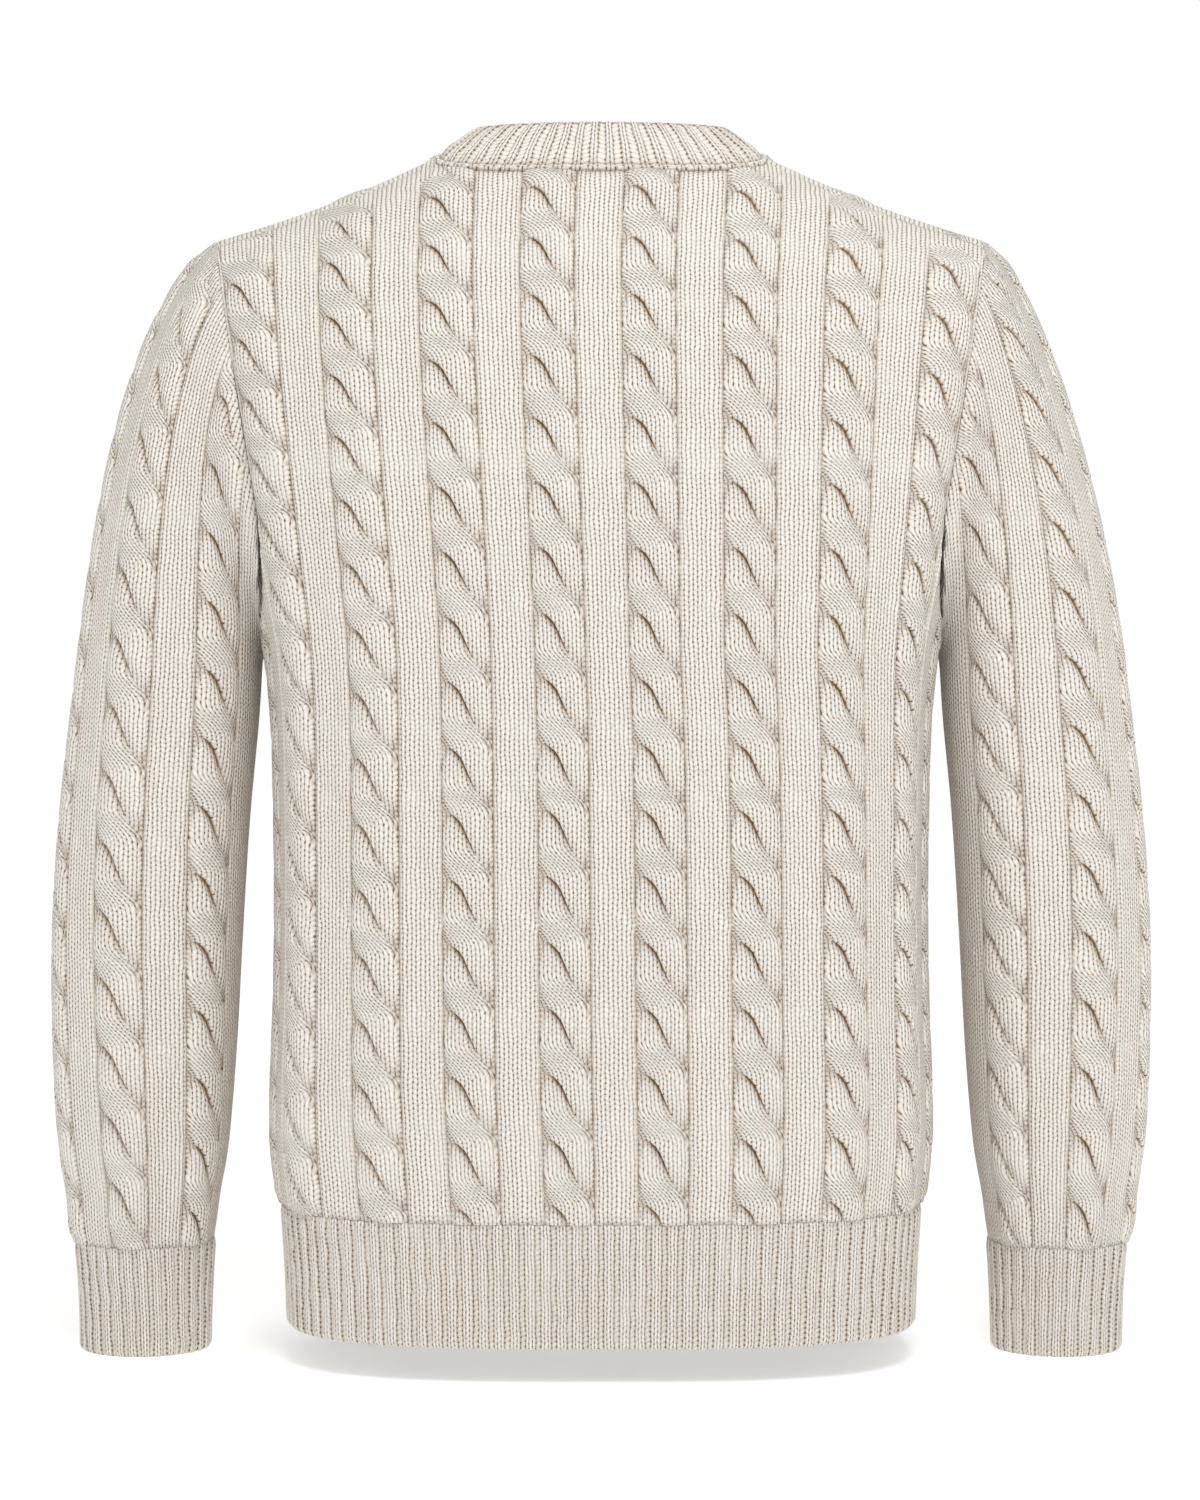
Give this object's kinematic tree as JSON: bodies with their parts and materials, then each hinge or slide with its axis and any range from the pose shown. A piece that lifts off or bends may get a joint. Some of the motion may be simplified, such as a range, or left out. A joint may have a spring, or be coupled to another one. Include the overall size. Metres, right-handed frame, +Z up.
{
  "type": "sweater",
  "caption": "Cable knit crew-neck sweater, filled out as if worn, with ribbed neckband, cuffs and hem.",
  "frame": {"origin": "on the sweater's middle line, level with the points where the shoulder seams meet the neckband, where the wearer's shoulders hold it up", "axes": "+Z up, -Y out of the back, +X towards the wearer's right sleeve"},
  "size_m": [0.659, 0.2774, 0.7331],
  "materials": {
    "back_yarn": "cable knit in matt marled wool yarn",
    "front_yarn": "cable knit in matt marled wool yarn",
    "sleeve_left_yarn": "cable knit in matt marled wool yarn",
    "sleeve_right_yarn": "cable knit in matt marled wool yarn",
    "cuff_left_yarn": "one by one rib in matt marled wool yarn",
    "cuff_right_yarn": "one by one rib in matt marled wool yarn",
    "hem_yarn": "one by one rib in matt marled wool yarn",
    "neckband_yarn": "one by one rib in matt marled wool yarn"
  },
  "bodies": {
    "root": {"back_panel": "back_yarn", "front_panel": "front_yarn", "sleeve_left": "sleeve_left_yarn", "sleeve_right": "sleeve_right_yarn", "cuff_left": "cuff_left_yarn", "cuff_right": "cuff_right_yarn", "hem_rib": "hem_yarn", "neckband": "neckband_yarn"}
  },
  "joints": []
}
